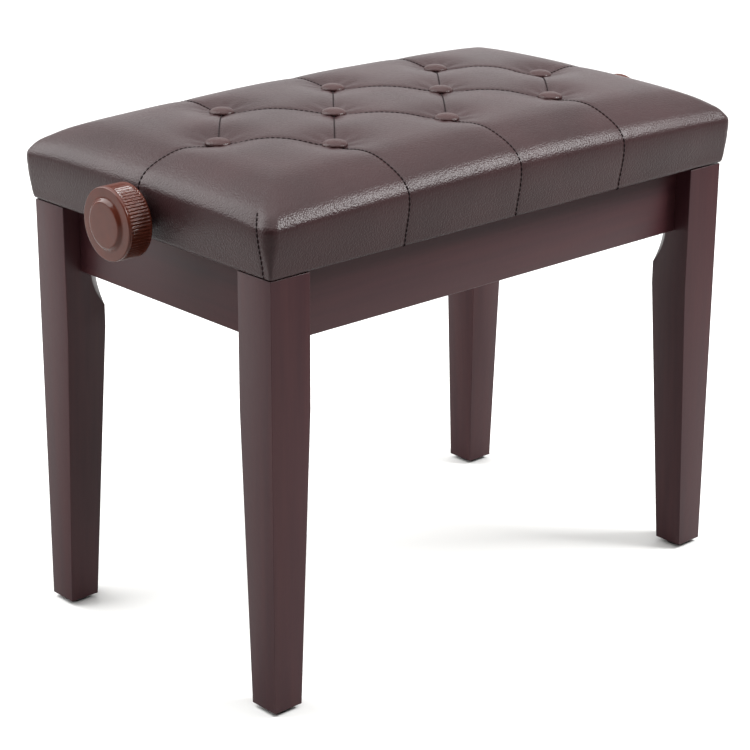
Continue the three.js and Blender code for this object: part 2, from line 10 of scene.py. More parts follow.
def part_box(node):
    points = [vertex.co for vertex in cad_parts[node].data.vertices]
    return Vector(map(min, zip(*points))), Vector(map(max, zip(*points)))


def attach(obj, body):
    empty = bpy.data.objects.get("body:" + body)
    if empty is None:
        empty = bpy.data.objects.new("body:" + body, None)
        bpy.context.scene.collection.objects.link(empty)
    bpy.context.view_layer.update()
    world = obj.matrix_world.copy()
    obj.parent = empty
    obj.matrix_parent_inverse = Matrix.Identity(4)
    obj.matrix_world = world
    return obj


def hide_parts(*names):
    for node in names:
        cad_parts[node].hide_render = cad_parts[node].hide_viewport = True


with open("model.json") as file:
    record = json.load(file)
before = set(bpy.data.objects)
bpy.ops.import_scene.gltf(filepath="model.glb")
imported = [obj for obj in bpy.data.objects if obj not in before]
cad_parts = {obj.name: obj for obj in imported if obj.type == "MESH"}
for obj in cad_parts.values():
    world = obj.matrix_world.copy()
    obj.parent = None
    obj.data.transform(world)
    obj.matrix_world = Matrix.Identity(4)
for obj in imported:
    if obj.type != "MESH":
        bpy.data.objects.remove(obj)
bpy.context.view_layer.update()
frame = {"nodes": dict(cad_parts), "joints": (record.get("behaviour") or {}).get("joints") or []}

MM = 0.001

# ------------------------------------------------------------------ legs and aprons
# Rubberwood stained dark mahogany and sprayed with semi-gloss lacquer. The four legs are
# planed square, tapered on their inner sides and eased along every edge. The four aprons
# sit back between them. The lacquer lets a little of the grain show and mirrors softly.

LACQUER_STAIN = "281216"
LACQUER_STREAK = "32191b"
LEG_EDGE = 1.6 * MM
APRON_EDGE = 1.0 * MM
PORE_WIDTH = 0.7 * MM
PORE_STRETCH = 0.04  # the grain's pattern is drawn out along the board by one over this
WELD = 0.005 * MM  # corners this close are one corner


def linear(hex_colour):
    """An sRGB hex colour as linear red, green, blue and alpha."""
    values = np.array([int(hex_colour[i:i + 2], 16) for i in (0, 2, 4)]) / 255
    low, high = values / 12.92, ((values + 0.055) / 1.055) ** 2.4
    return (*np.where(values <= 0.04045, low, high), 1.0)


def add(tree, kind, settings=None, inputs=None):
    """Adds one shader node, with its own settings and its inputs: a value, or another
    node's output to link."""
    node = tree.nodes.new("ShaderNode" + kind)
    for name, value in (settings or {}).items():
        setattr(node, name, value)
    for socket, value in (inputs or {}).items():
        if isinstance(value, bpy.types.NodeSocket):
            tree.links.new(value, node.inputs[socket])
        else:
            node.inputs[socket].default_value = value
    return node


def start_material(name):
    """An empty material and its node tree, its shader and the object's own coordinates."""
    material = bpy.data.materials.new(name)
    material.use_nodes = True
    tree = material.node_tree
    tree.nodes.clear()
    shader = add(tree, "BsdfPrincipled")
    output = add(tree, "OutputMaterial")
    tree.links.new(shader.outputs["BSDF"], output.inputs["Surface"])
    place = add(tree, "TexCoord").outputs["Object"]
    return material, tree, shader, place


def ramp(tree, factor, stops):
    """Colours at positions along a factor, as a colour output."""
    node = add(tree, "ValToRGB", inputs={"Fac": factor})
    band = node.color_ramp
    while len(band.elements) < len(stops):
        band.elements.new(0.5)
    for element, (position, colour) in zip(band.elements, stops):
        element.position = position
        element.color = colour
    return node.outputs["Color"]


def grey(value):
    """One linear value as an opaque grey, or as a plain number held in a colour."""
    return (value, value, value, 1.0)


def lacquered_mahogany(name, along):
    """Stained wood under semi-gloss lacquer, with its grain along one axis (0, 1 or 2)."""
    material, tree, shader, place = start_material(name)
    stretch = [1.0, 1.0, 1.0]
    stretch[along] = PORE_STRETCH
    grain_place = add(tree, "Mapping", inputs={"Vector": place, "Scale": stretch}).outputs["Vector"]
    streaks = add(tree, "TexNoise", inputs={
        "Vector": grain_place, "Scale": 1 / (9 * MM), "Detail": 5.0, "Roughness": 0.6})
    pores = add(tree, "TexNoise", inputs={
        "Vector": grain_place, "Scale": 1 / PORE_WIDTH, "Detail": 2.0, "Roughness": 0.5})
    orange_peel = add(tree, "TexNoise", inputs={
        "Vector": place, "Scale": 1 / (6 * MM), "Detail": 1.0})
    colour = ramp(tree, streaks.outputs["Fac"], [
        (0.3, linear(LACQUER_STAIN)), (0.7, linear(LACQUER_STREAK))])
    gloss = ramp(tree, streaks.outputs["Fac"], [(0.3, grey(0.34)), (0.7, grey(0.42))])
    pore_bump = add(tree, "Bump", inputs={
        "Height": pores.outputs["Fac"], "Strength": 0.10, "Distance": 0.1 * MM})
    film_bump = add(tree, "Bump", inputs={
        "Height": orange_peel.outputs["Fac"], "Strength": 0.06, "Distance": 1.0 * MM,
        "Normal": pore_bump.outputs["Normal"]})
    tree.links.new(colour, shader.inputs["Base Color"])
    tree.links.new(gloss, shader.inputs["Roughness"])
    tree.links.new(film_bump.outputs["Normal"], shader.inputs["Normal"])
    shader.inputs["IOR"].default_value = 1.5
    shader.inputs["Specular IOR Level"].default_value = 0.16
    return material


def finish_piece(piece, material, body, nodes):
    """Gives a new piece its material, its body and the nodes it stands for."""
    piece.data.materials.clear()
    piece.data.materials.append(material)
    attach(piece, body)
    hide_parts(*nodes)
    return piece


def new_piece(name, data):
    """A new object in the scene, at the origin, made from a mesh, a light or a camera."""
    piece = bpy.data.objects.new(name, data)
    bpy.context.scene.collection.objects.link(piece)
    return piece


def eased_copy(node, radius, material, body, turn_angle=28):
    """The node's shape with its triangles merged into whole faces and its edges eased."""
    mesh = frame["nodes"][node].data.copy()
    shape = bmesh.new()
    shape.from_mesh(mesh)
    bmesh.ops.remove_doubles(shape, verts=shape.verts, dist=WELD)
    bmesh.ops.dissolve_limit(shape, angle_limit=math.radians(0.5), verts=shape.verts, edges=shape.edges)
    shape.to_mesh(mesh)
    shape.free()
    mesh.shade_smooth()
    piece = new_piece(node + "_finished", mesh)
    edges = piece.modifiers.new("eased edges", "BEVEL")
    edges.width = radius
    edges.segments = 3
    edges.limit_method = "ANGLE"
    edges.angle_limit = math.radians(turn_angle)
    edges.harden_normals = True
    return finish_piece(piece, material, body, [node])


mahogany_upright = lacquered_mahogany("lacquered_mahogany_upright", 2)
mahogany_long = lacquered_mahogany("lacquered_mahogany_long", 0)
mahogany_short = lacquered_mahogany("lacquered_mahogany_short", 1)
CORNERS = [f"{side}_{end}" for side in ("front", "back") for end in ("left", "right")]

for corner in CORNERS:
    eased_copy(f"leg_{corner}", LEG_EDGE, mahogany_upright, "base")
for side, wood in (("front", mahogany_long), ("back", mahogany_long),
                   ("left", mahogany_short), ("right", mahogany_short)):
    eased_copy(f"apron_{side}", APRON_EDGE, wood, "base")

# ------------------------------------------------------------------ foot glides
# Nylon-faced glides nailed under the legs, so the wood never meets the floor. Each is a
# moulded black disc with a rounded rim and a shallow dished face.

GLIDE_RIM = 1.2 * MM
TURNED_SIDES = 64


def grid_mesh(name, points, wrap_across=False, cap_start=False, cap_end=False):
    """A mesh from a grid of points, rows by columns. Faces join neighbours; columns may
    wrap round, and the first and last rows may be closed by one face each."""
    rows, columns = points.shape[:2]
    index = np.arange(rows * columns).reshape(rows, columns)
    across = np.roll(index, -1, axis=1) if wrap_across else index[:, 1:]
    here = index if wrap_across else index[:, :-1]
    quads = np.stack([here[:-1], across[:-1], across[1:], here[1:]], -1).reshape(-1, 4)
    corners = [quads.ravel()]
    sizes = [np.full(len(quads), 4)]
    if cap_start:
        corners.append(index[0][::-1])
        sizes.append([columns])
    if cap_end:
        corners.append(index[-1])
        sizes.append([columns])
    corners, sizes = np.concatenate(corners), np.concatenate(sizes)
    mesh = bpy.data.meshes.new(name)
    mesh.vertices.add(rows * columns)
    mesh.vertices.foreach_set("co", points.reshape(-1).astype(np.float32))
    mesh.loops.add(len(corners))
    mesh.loops.foreach_set("vertex_index", corners.astype(np.int32))
    mesh.polygons.add(len(sizes))
    mesh.polygons.foreach_set("loop_start", (np.cumsum(sizes) - sizes).astype(np.int32))
    mesh.update(calc_edges=True)
    mesh.validate()
    mesh.shade_smooth()
    return mesh


def face_outwards(mesh):
    """Turns every face of a closed shape to point out of it."""
    shape = bmesh.new()
    shape.from_mesh(mesh)
    bmesh.ops.recalc_face_normals(shape, faces=shape.faces)
    shape.to_mesh(mesh)
    shape.free()
    return mesh


def rounded(profile, radius, steps=5):
    """A profile of (radius, height) points with each inner corner turned into an arc that
    is tangent to both its sides."""
    points = [np.array(p, float) for p in profile]
    out = [points[0]]
    for before, corner, after in zip(points, points[1:], points[2:]):
        to_before, to_after = before - corner, after - corner
        reach = min(radius, 0.45 * np.linalg.norm(to_before), 0.45 * np.linalg.norm(to_after))
        first = corner + to_before / np.linalg.norm(to_before) * reach
        last = corner + to_after / np.linalg.norm(to_after) * reach
        share = np.linspace(0, 1, steps)[:, None]
        out.extend((1 - share) ** 2 * first + 2 * share * (1 - share) * corner + share ** 2 * last)
    out.append(points[-1])
    return np.array(out)


def turned(name, profile, centre, axis, sides=TURNED_SIDES):
    """A profile of (radius, distance along) points spun round an axis through centre:
    point = centre + distance * axis + radius * (cos(a) * side + sin(a) * other)."""
    axis = np.array(axis, float)
    side = np.array([axis[2], axis[0], axis[1]])
    other = np.cross(axis, side)
    angle = np.linspace(0, 2 * math.pi, sides, endpoint=False)
    round_about = np.cos(angle)[:, None] * side + np.sin(angle)[:, None] * other
    profile = np.array(profile)
    points = (np.array(centre) + profile[:, None, 1:2] * axis
              + profile[:, None, 0:1] * round_about[None])
    return new_piece(name, face_outwards(grid_mesh(name, points, True, True, True)))


def moulded_plastic(name, colour, roughness, texture_size, bump):
    """Moulded plastic: one colour, a fine texture from the mould and slightly uneven gloss."""
    material, tree, shader, place = start_material(name)
    texture = add(tree, "TexNoise", inputs={
        "Vector": place, "Scale": 1 / texture_size, "Detail": 3.0, "Roughness": 0.6})
    cloud = add(tree, "TexNoise", inputs={"Vector": place, "Scale": 1 / (14 * MM), "Detail": 3.0})
    dark, light = (np.array(linear(colour)) * share for share in (0.86, 1.1))
    tree.links.new(ramp(tree, cloud.outputs["Fac"], [(0.3, dark), (0.7, light)]),
                   shader.inputs["Base Color"])
    tree.links.new(ramp(tree, cloud.outputs["Fac"], [
        (0.3, grey(roughness * 0.85)), (0.7, grey(roughness * 1.15))]), shader.inputs["Roughness"])
    relief = add(tree, "Bump", inputs={
        "Height": texture.outputs["Fac"], "Strength": bump, "Distance": 0.15 * MM})
    tree.links.new(relief.outputs["Normal"], shader.inputs["Normal"])
    shader.inputs["IOR"].default_value = 1.49
    return material


glide_nylon = moulded_plastic("moulded_black_nylon", "1b1919", 0.5, 0.5 * MM, 0.4)
for corner in CORNERS:
    low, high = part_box(f"foot_glide_{corner}")
    radius = (high.x - low.x) / 2
    middle = ((low.x + high.x) / 2, (low.y + high.y) / 2, low.z)
    height = high.z - low.z
    profile = rounded([
        (0.02 * radius, 0.4 * MM), (0.62 * radius, 0.3 * MM), (0.74 * radius, 0.0),
        (0.93 * radius, 0.0), (radius, GLIDE_RIM), (radius, height - 0.6 * MM),
        (0.96 * radius, height), (0.02 * radius, height)], 0.8 * MM)
    glide = turned(f"glide_{corner}_moulded", profile, middle, (0, 0, 1), 48)
    finish_piece(glide, glide_nylon, "base", [f"foot_glide_{corner}"])

# ------------------------------------------------------------------ corner blocks and bolts
# Bare rubberwood blocks glued and screwed across the corners, each drilled for a zinc
# plated hexagon bolt that pulls its leg tight against the block's face.

RAW_WOOD = ("b28d62", "94704a")
ZINC = "b9bab6"


def sawn_wood(name, along, colours, ring_width=5 * MM):
    """Bare sanded wood with growth rings drawn out along one axis."""
    material, tree, shader, place = start_material(name)
    stretch = [1.0, 1.0, 1.0]
    stretch[along] = 0.06
    grain_place = add(tree, "Mapping", inputs={"Vector": place, "Scale": stretch}).outputs["Vector"]
    rings = add(tree, "TexNoise", inputs={
        "Vector": grain_place, "Scale": 1 / ring_width, "Detail": 6.0, "Roughness": 0.65,
        "Distortion": 0.6})
    fibre = add(tree, "TexNoise", inputs={"Vector": grain_place, "Scale": 1 / (0.5 * MM), "Detail": 2.0})
    tree.links.new(ramp(tree, rings.outputs["Fac"], [
        (0.35, linear(colours[1])), (0.6, linear(colours[0]))]), shader.inputs["Base Color"])
    relief = add(tree, "Bump", inputs={
        "Height": fibre.outputs["Fac"], "Strength": 0.35, "Distance": 0.15 * MM})
    tree.links.new(relief.outputs["Normal"], shader.inputs["Normal"])
    shader.inputs["Roughness"].default_value = 0.68
    return material


def zinc_plate(name):
    """Bright zinc on turned steel: a metal with faint cloudy spangle and fine turning marks."""
    material, tree, shader, place = start_material(name)
    cloud = add(tree, "TexNoise", inputs={"Vector": place, "Scale": 1 / (5 * MM), "Detail": 4.0})
    marks = add(tree, "TexNoise", inputs={"Vector": place, "Scale": 1 / (0.4 * MM), "Detail": 1.0})
    dark = np.array(linear(ZINC)) * 0.72
    tree.links.new(ramp(tree, cloud.outputs["Fac"], [(0.3, dark), (0.7, linear(ZINC))]),
                   shader.inputs["Base Color"])
    tree.links.new(ramp(tree, cloud.outputs["Fac"], [(0.3, grey(0.25)), (0.7, grey(0.42))]),
                   shader.inputs["Roughness"])
    relief = add(tree, "Bump", inputs={
        "Height": marks.outputs["Fac"], "Strength": 0.15, "Distance": 0.08 * MM})
    tree.links.new(relief.outputs["Normal"], shader.inputs["Normal"])
    shader.inputs["Metallic"].default_value = 1.0
    return material


raw_upright = sawn_wood("sanded_rubberwood_upright", 2, RAW_WOOD)
zinc = zinc_plate("zinc_plated_steel")
for corner in CORNERS:
    eased_copy(f"corner_block_{corner}", 0.8 * MM, raw_upright, "base")
    eased_copy(f"leg_bolt_{corner}", 0.35 * MM, zinc, "base")

# ------------------------------------------------------------------ rails and arms
# The lift is bent and punched from 3 and 4 mm steel: two angle rails on the base, two
# under the seat, and two pairs of crossed arms between them. All of it is powder coated
# black, which leaves soft edges and a fine orange-peel skin.

POWDER_BLACK = "1c1c1e"
STEEL_EDGE = 0.5 * MM

powder_coat = moulded_plastic("black_powder_coat", POWDER_BLACK, 0.42, 0.9 * MM, 0.5)
for side in ("front", "back"):
    eased_copy(f"lower_rail_{side}", STEEL_EDGE, powder_coat, "base")
    eased_copy(f"upper_rail_{side}", STEEL_EDGE, powder_coat, "seat")
    eased_copy(f"rising_arm_{side}", STEEL_EDGE, powder_coat, "rising_arms")
    eased_copy(f"falling_arm_{side}", STEEL_EDGE, powder_coat, "falling_arms")

# ------------------------------------------------------------------ rods and pins
# Turned zinc plated rods join the two sides of the lift. Each has chamfered ends with a
# groove for its retaining ring. The centre pins are upset to a shallow dome at each end.

ROD_CHAMFER = 0.8 * MM
RING_GROOVE = 1.0 * MM
GROOVE_DEPTH = 0.6 * MM
PIN_SHANK = 4.0 * MM

for rod, body in (("lower_pivot_rod", "base"), ("sliding_rod", "falling_arms")):
    low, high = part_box(rod)
    radius = (high.x - low.x) / 2
    half = (high.y - low.y) / 2
    end = [(radius - ROD_CHAMFER, half), (radius, half - ROD_CHAMFER), (radius, half - 1.4 * MM),
           (radius - GROOVE_DEPTH, half - 1.5 * MM),
           (radius - GROOVE_DEPTH, half - 1.5 * MM - RING_GROOVE),
           (radius, half - 1.6 * MM - RING_GROOVE)]
    profile = ([(0.05 * radius, -half)] + [(r, -along) for r, along in end]
               + end[::-1] + [(0.05 * radius, half)])
    middle = ((low.x + high.x) / 2, 0, (low.z + high.z) / 2)
    piece = turned(rod + "_turned", rounded(profile, 0.15 * MM, 3), middle, (0, 1, 0), 40)
    finish_piece(piece, zinc, body, [rod])

for side, sign in (("front", -1), ("back", 1)):
    low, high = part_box(f"centre_pin_{side}")
    head = (high.x - low.x) / 2
    half = (high.y - low.y) / 2
    dome = [(0.05 * head, half), (0.55 * head, half - 0.25 * MM), (0.92 * head, half - 1.1 * MM),
            (head, half - 1.8 * MM), (head, half - 2.4 * MM), (PIN_SHANK, half - 2.5 * MM)]
    profile = [(r, -along) for r, along in dome] + dome[::-1]
    middle = ((low.x + high.x) / 2, (low.y + high.y) / 2, (low.z + high.z) / 2)
    pin = turned(f"centre_pin_{side}_headed", rounded(profile, 0.3 * MM, 3), middle, (0, 1, 0), 40)
    finish_piece(pin, zinc, "rising_arms", [f"centre_pin_{side}"])

# ------------------------------------------------------------------ nut and lead screw
# The square nut has its cross bar welded through it. The screw is cut with a 3 mm
# trapezoidal thread where the nut travels and is plain from there to its journals.

THREAD_PITCH = 3.0 * MM
THREAD_DEPTH = 1.1 * MM
THREAD_SIDES = 36
THREAD_STEP = 0.25 * MM
THREAD_MARGIN = 6 * MM

eased_copy("nut_bar", 0.5 * MM, zinc, "nut", 40)

screw_low, screw_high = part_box("lead_screw")
nut_low, nut_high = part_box("nut_bar")
screw_radius = (screw_high.z - screw_low.z) / 2
journal_radius = screw_radius - 1.0 * MM
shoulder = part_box("bush_right")[0].x - 0.3 * MM
nut_travel = max(j["range_m"][1] for j in frame["joints"] if j["name"] == "nut_travel")
thread_from = nut_low.x - nut_travel - THREAD_MARGIN
thread_to = nut_high.x + THREAD_MARGIN


def threaded_rod():
    """Radius at distance x and angle a: the journal radius near the ends, the full radius
    between the shoulders, and in the threaded stretch the full radius less a trapezoidal
    wave of x / pitch - a / (2 pi)."""
    plain = np.array([screw_low.x, screw_low.x + 0.8 * MM, -shoulder - 0.02 * MM, -shoulder,
                      thread_from])
    thread = np.arange(thread_from + THREAD_STEP, thread_to, THREAD_STEP)
    far = np.array([thread_to, shoulder, shoulder + 0.02 * MM, screw_high.x - 0.8 * MM, screw_high.x])
    x = np.concatenate([plain, thread, far])[:, None]
    angle = np.linspace(0, 2 * math.pi, THREAD_SIDES, endpoint=False)[None]
    phase = (x / THREAD_PITCH - angle / (2 * math.pi)) % 1
    wave = np.clip(4 * np.abs(phase - 0.5) - 0.6, 0, 0.8) / 0.8
    fade = np.clip((x - thread_from) / THREAD_PITCH, 0, 1) * np.clip((thread_to - x) / THREAD_PITCH, 0, 1)
    radius = screw_radius - THREAD_DEPTH * wave * fade
    radius = np.where(np.abs(x) > shoulder + 0.01 * MM, journal_radius, radius)
    ends = (x <= screw_low.x) | (x >= screw_high.x)
    radius = np.where(ends, journal_radius - 0.7 * MM, radius)
    centre_z = (screw_low.z + screw_high.z) / 2
    return np.stack([x + 0 * angle, radius * np.cos(angle), centre_z + radius * np.sin(angle)], -1)


screw = new_piece("lead_screw_threaded", face_outwards(
    grid_mesh("lead_screw_threaded", threaded_rod(), True, True, True)))
screw.data.set_sharp_from_angle(angle=math.radians(35))
finish_piece(screw, zinc, "screw", ["lead_screw"])

# ------------------------------------------------------------------ seat frame, board and foam
# Four bare rails are stapled and glued into a frame, an 8 mm plywood board closes its top,
# and a slab of firm foam lies on the board.

for side, along in (("front", 0), ("back", 0), ("left", 1), ("right", 1)):
    wood = sawn_wood(f"sanded_rubberwood_{side}", along, RAW_WOOD)
    eased_copy(f"seat_rail_{side}", 0.8 * MM, wood, "seat")


def plywood():
    """Rotary-cut veneer on the faces, and five plies in light and dark along the edge."""
    material, tree, shader, place = start_material("birch_plywood")
    split = add(tree, "SeparateXYZ", inputs={"Vector": place})
    board_low, board_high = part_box("seat_board")
    ply = (board_high.z - board_low.z) / 5
    level = add(tree, "Math", {"operation": "MULTIPLY_ADD"}, {
        0: split.outputs["Z"], 1: 0.5 / ply, 2: -0.5 * board_low.z / ply})
    layer = add(tree, "Math", {"operation": "FRACT"}, {0: level.outputs["Value"]})
    stretch = add(tree, "Mapping", inputs={"Vector": place, "Scale": (0.12, 1.0, 1.0)})
    figure = add(tree, "TexNoise", inputs={
        "Vector": stretch.outputs["Vector"], "Scale": 1 / (16 * MM), "Detail": 6.0,
        "Roughness": 0.6, "Distortion": 1.2})
    face = ramp(tree, figure.outputs["Fac"], [(0.35, linear("b08a5e")), (0.65, linear("c7a478"))])
    edge = ramp(tree, layer.outputs["Value"], [(0.48, grey(1.0)), (0.52, grey(0.62))])
    normal = add(tree, "NewGeometry").outputs["True Normal"]
    up = add(tree, "SeparateXYZ", inputs={"Vector": normal})
    steep = add(tree, "Math", {"operation": "ABSOLUTE"}, {0: up.outputs["Z"]})
    on_edge = add(tree, "Math", {"operation": "LESS_THAN"}, {0: steep.outputs["Value"], 1: 0.5})
    mixed = add(tree, "Mix", {"data_type": "RGBA", "blend_type": "MULTIPLY"}, {
        "Factor": on_edge.outputs["Value"], 6: face, 7: edge})
    tree.links.new(mixed.outputs[2], shader.inputs["Base Color"])
    relief = add(tree, "Bump", inputs={
        "Height": figure.outputs["Fac"], "Strength": 0.3, "Distance": 0.2 * MM})
    tree.links.new(relief.outputs["Normal"], shader.inputs["Normal"])
    shader.inputs["Roughness"].default_value = 0.66
    return material


def open_foam():
    """Cream polyurethane foam: matt, with cells about a millimetre across."""
    material, tree, shader, place = start_material("polyurethane_foam")
    cells = add(tree, "TexVoronoi", inputs={"Vector": place, "Scale": 1 / (1.2 * MM)})
    tree.links.new(ramp(tree, cells.outputs["Distance"], [
        (0.1, linear("b9ab7c")), (0.6, linear("d9cfa6"))]), shader.inputs["Base Color"])
    relief = add(tree, "Bump", inputs={
        "Height": cells.outputs["Distance"], "Strength": 0.8, "Distance": 0.5 * MM})
    tree.links.new(relief.outputs["Normal"], shader.inputs["Normal"])
    shader.inputs["Roughness"].default_value = 0.95
    return material


FOAM_PRESSED = 9 * MM  # how far the tight cover squashes the foam's corners

eased_copy("seat_board", 0.4 * MM, plywood(), "seat", 50)
foam = eased_copy("foam_pad", 2.0 * MM, open_foam(), "seat", 50)
foam_low, foam_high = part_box("foam_pad")
places = np.empty(3 * len(foam.data.vertices), np.float32)
foam.data.vertices.foreach_get("co", places)
places = places.reshape(-1, 3)
share = np.clip((places[:, 2] - foam_low.z) / (foam_high.z - foam_low.z), 0, 1)
cornered = np.abs(places[:, 0] / foam_high.x * places[:, 1] / foam_high.y)
places[:, 2] -= FOAM_PRESSED * share * cornered
foam.data.vertices.foreach_set("co", places.ravel())

# ------------------------------------------------------------------ the seat's cover
# Dark brown coated leather cloth, quilted to wadding, pulled over the foam and down the
# frame's sides, and stapled under its rails. Panels are sewn along the lines between the
# buttons and at the corners. The top rolls over into sides that lean in to the base.

legs_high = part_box("leg_back_right")[1]
LEG_X, LEG_Y = legs_high.x, legs_high.y
cover_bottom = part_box("side_cover_front")[0].z
cover_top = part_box("seat_cushion")[1].z
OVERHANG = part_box("side_cover_right")[1].x - LEG_X + 1.2 * MM  # the cloth swells past its frame
GRID = 1.9 * MM
CROWN_POWER = 4.5
SHARP_BELOW = 30 * MM  # under this height the corner is pulled sharp
END_DROOP = 1.3 * MM  # how far the top falls off at its ends, its corners and their tips
CORNER_DROOP = 2.6 * MM
TIP_DROOP = 2.0 * MM
SAG = 2.5 * MM  # the back right corner has less wadding under it
SHOULDER = 10 * MM  # how far inside the legs' faces the droop is full
DROOP_FROM = 50 * MM  # the droop fades out below this height
CORNER_SHARE = 0.18  # corner radius, as a share of how far each ring has rolled out
CORNER_SEAM_FROM = 0.72  # where a corner's seam starts, as a share of the way to the widest ring
CORNER_SEAM_NEAR = 0.7  # how near the corner's own line it starts
SEAM_GROOVE = 0.8 * MM
SEAM_GROOVE_WIDTH = 2.2 * MM
SEAM_VALLEY = 1.3 * MM
SEAM_VALLEY_WIDTH = 10 * MM
DIMPLE_RADIUS = 21 * MM
DIMPLE_FLOOR = 9.5 * MM  # just inside the button's rim
PUCKER = 0.3 * MM
PUCKERS = 9
PUCKER_RADIUS = 17 * MM
PUCKER_WIDTH = 9 * MM
RIPPLE = 0.3 * MM

# The side's section from the flat of the top, over the edge and down to the staples. Each
# point is millimetres outside the legs and above the frame's bottom edge.
EDGE_SECTION = [
    (-50, 66.4), (-34, 65.8), (-20, 63.4), (-9, 60.0), (0, 54.8),
    (0.85 * OVERHANG / MM, 46.5), (OVERHANG / MM, 37), (0.85 * OVERHANG / MM, 25),
    (2.9, 8), (1.7, 0.4), (0.9, -1.5), (-1.4, -2.0), (-6, -1.4), (-16, -0.5)]


def through_points(points, steps=12):
    """A smooth curve through every point: between two of them it is the cubic whose slope
    at each end is half the step between that end's neighbours."""
    points = np.array(points, float)
    padded = np.vstack([2 * points[0] - points[1], points, 2 * points[-1] - points[-2]])
    t = np.linspace(0, 1, steps, endpoint=False)[:, None]
    curves = []
    for before, start, end, after in zip(padded, padded[1:], padded[2:], padded[3:]):
        slope, end_slope = (end - before) / 2, (after - start) / 2
        curves.append((2 * t ** 3 - 3 * t ** 2 + 1) * start + (t ** 3 - 2 * t ** 2 + t) * slope
                      + (3 * t ** 2 - 2 * t ** 3) * end + (t ** 3 - t ** 2) * end_slope)
    return np.vstack(curves + [points[-1:]])


section = through_points(EDGE_SECTION) * MM
section_out, section_height = section[:, 0], section[:, 1]
section_length = np.concatenate([[0], np.cumsum(np.hypot(np.diff(section_out), np.diff(section_height)))])
SKIRT = section_length[-1]
ROLLED = section_length[np.argmax(section_out)]  # how far along the section is widest
TOP_X = LEG_X + section_out[0]
TOP_Y = LEG_Y + section_out[0]
CROWN = cover_top - cover_bottom - section_height[0]


def button_places():
    """Each button's node with its middle and its lowest point."""
    places = {}
    for node in sorted(n for n in frame["nodes"] if n.startswith("button_")):
        low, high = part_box(node)
        places[node] = np.array([(low.x + high.x) / 2, (low.y + high.y) / 2, low.z])
    return places


buttons = button_places()


def seam_lines():
    """The seams on the flat sheet: pairs of points. Diagonals join each button to its
    neighbours in the next row. The outer buttons have a seam straight out to the edge and
    down the side. Each corner has one, just round on the short side in front and just
    round on the long side at the back."""
    rows = {row: sorted((p[:2] for n, p in buttons.items() if f"_{row}_" in n), key=lambda p: p[0])
            for row in ("front", "middle", "back")}
    lines = []
    for row in ("front", "back"):
        for number, spot in enumerate(rows[row]):
            lines += [(spot, rows["middle"][number]), (spot, rows["middle"][number + 1])]
            lines.append((spot, np.array([spot[0], np.sign(spot[1]) * (TOP_Y + SKIRT)])))
    for spot in (rows["middle"][0], rows["middle"][-1]):
        lines.append((spot, np.array([np.sign(spot[0]) * (TOP_X + SKIRT), spot[1]])))
    straight = 1 - CORNER_SHARE
    start = straight / (straight + CORNER_SHARE * math.pi / 4)
    ends = [(CORNER_SEAM_FROM * ROLLED, CORNER_SEAM_NEAR * CORNER_SEAM_FROM * ROLLED),
            (SKIRT, start * SKIRT)]
    for sign_x in (-1, 1):
        lines.append(tuple(np.array([sign_x * (TOP_X + far), -(TOP_Y + near)]) for far, near in ends))
        lines.append(tuple(np.array([sign_x * (TOP_X + near), TOP_Y + far]) for far, near in ends))
    return lines


seams = seam_lines()


def distance_to(lines, a, b):
    """The least distance from each point (a, b) of the flat sheet to a set of lines."""
    least = np.full(a.shape, 1.0)
    for start, end in lines:
        along = end - start
        share = ((a - start[0]) * along[0] + (b - start[1]) * along[1]) / (along @ along)
        share = np.clip(share, 0, 1)
        least = np.minimum(least, np.hypot(a - start[0] - share * along[0], b - start[1] - share * along[1]))
    return least


def sheet_axis(half):
    """Evenly spaced places from the middle of the sheet to both its ends."""
    steps = int(math.ceil((half + SKIRT) / GRID))
    return np.linspace(-(half + SKIRT), half + SKIRT, 2 * steps + 1)


